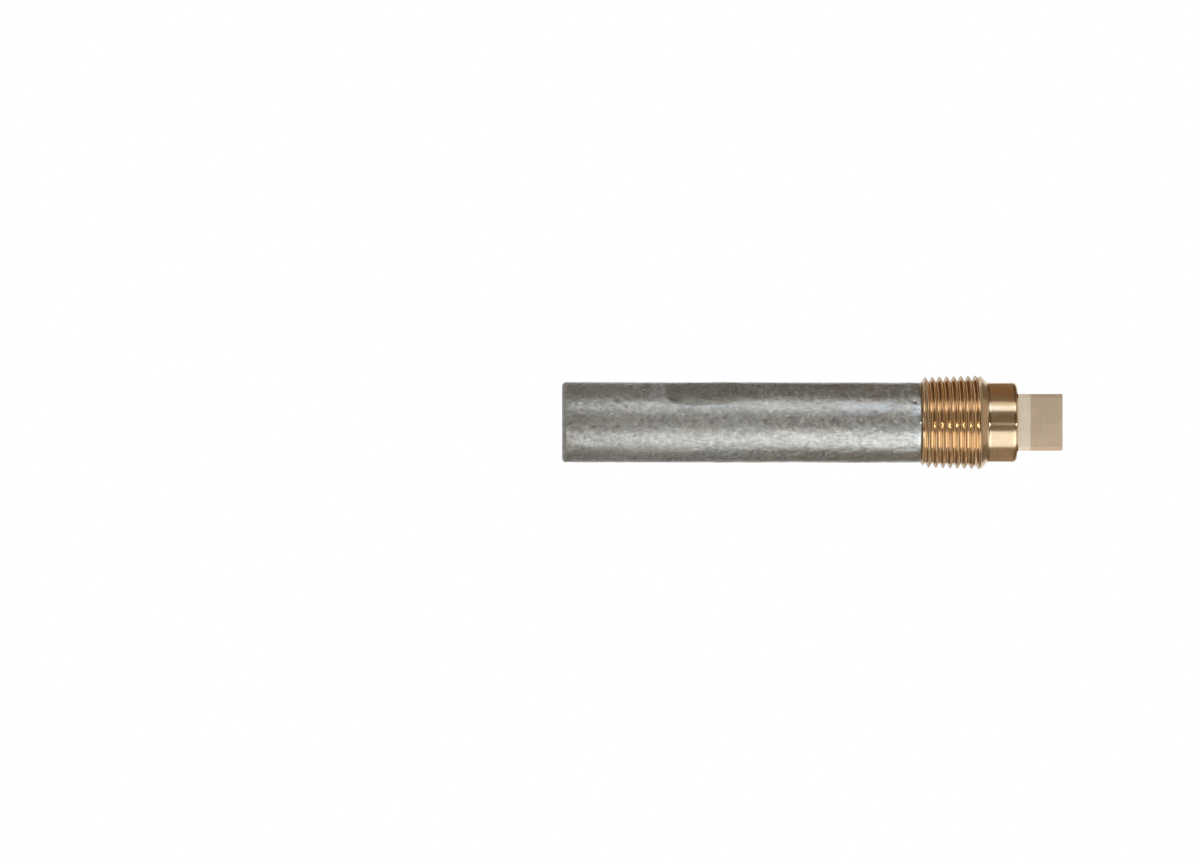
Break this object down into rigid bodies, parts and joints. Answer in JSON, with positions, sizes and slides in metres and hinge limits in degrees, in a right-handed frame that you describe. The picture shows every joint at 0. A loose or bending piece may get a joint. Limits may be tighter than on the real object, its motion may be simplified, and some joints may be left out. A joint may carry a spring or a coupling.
{
  "type": "sacrificial anode",
  "caption": "Zinc pencil anode: a round cast rod screwed into a taper-threaded bronze plug with a round collar and a square head for a spanner.",
  "frame": {"origin": "centre of the flat free end of the zinc rod, on which the anode stands", "axes": "+Z along the axis from the rod's free end to the square head; X and Y square to the flats of the head"},
  "size_m": [0.0222, 0.0222, 0.1182],
  "materials": {
    "zinc": "as-cast zinc, mottled mid grey, slightly shiny",
    "bronze": "turned bronze, bright on the thread and collar, milled and matte on the square head"
  },
  "bodies": {
    "root": {"zinc_rod": "zinc", "threaded_plug": "bronze"}
  },
  "joints": []
}
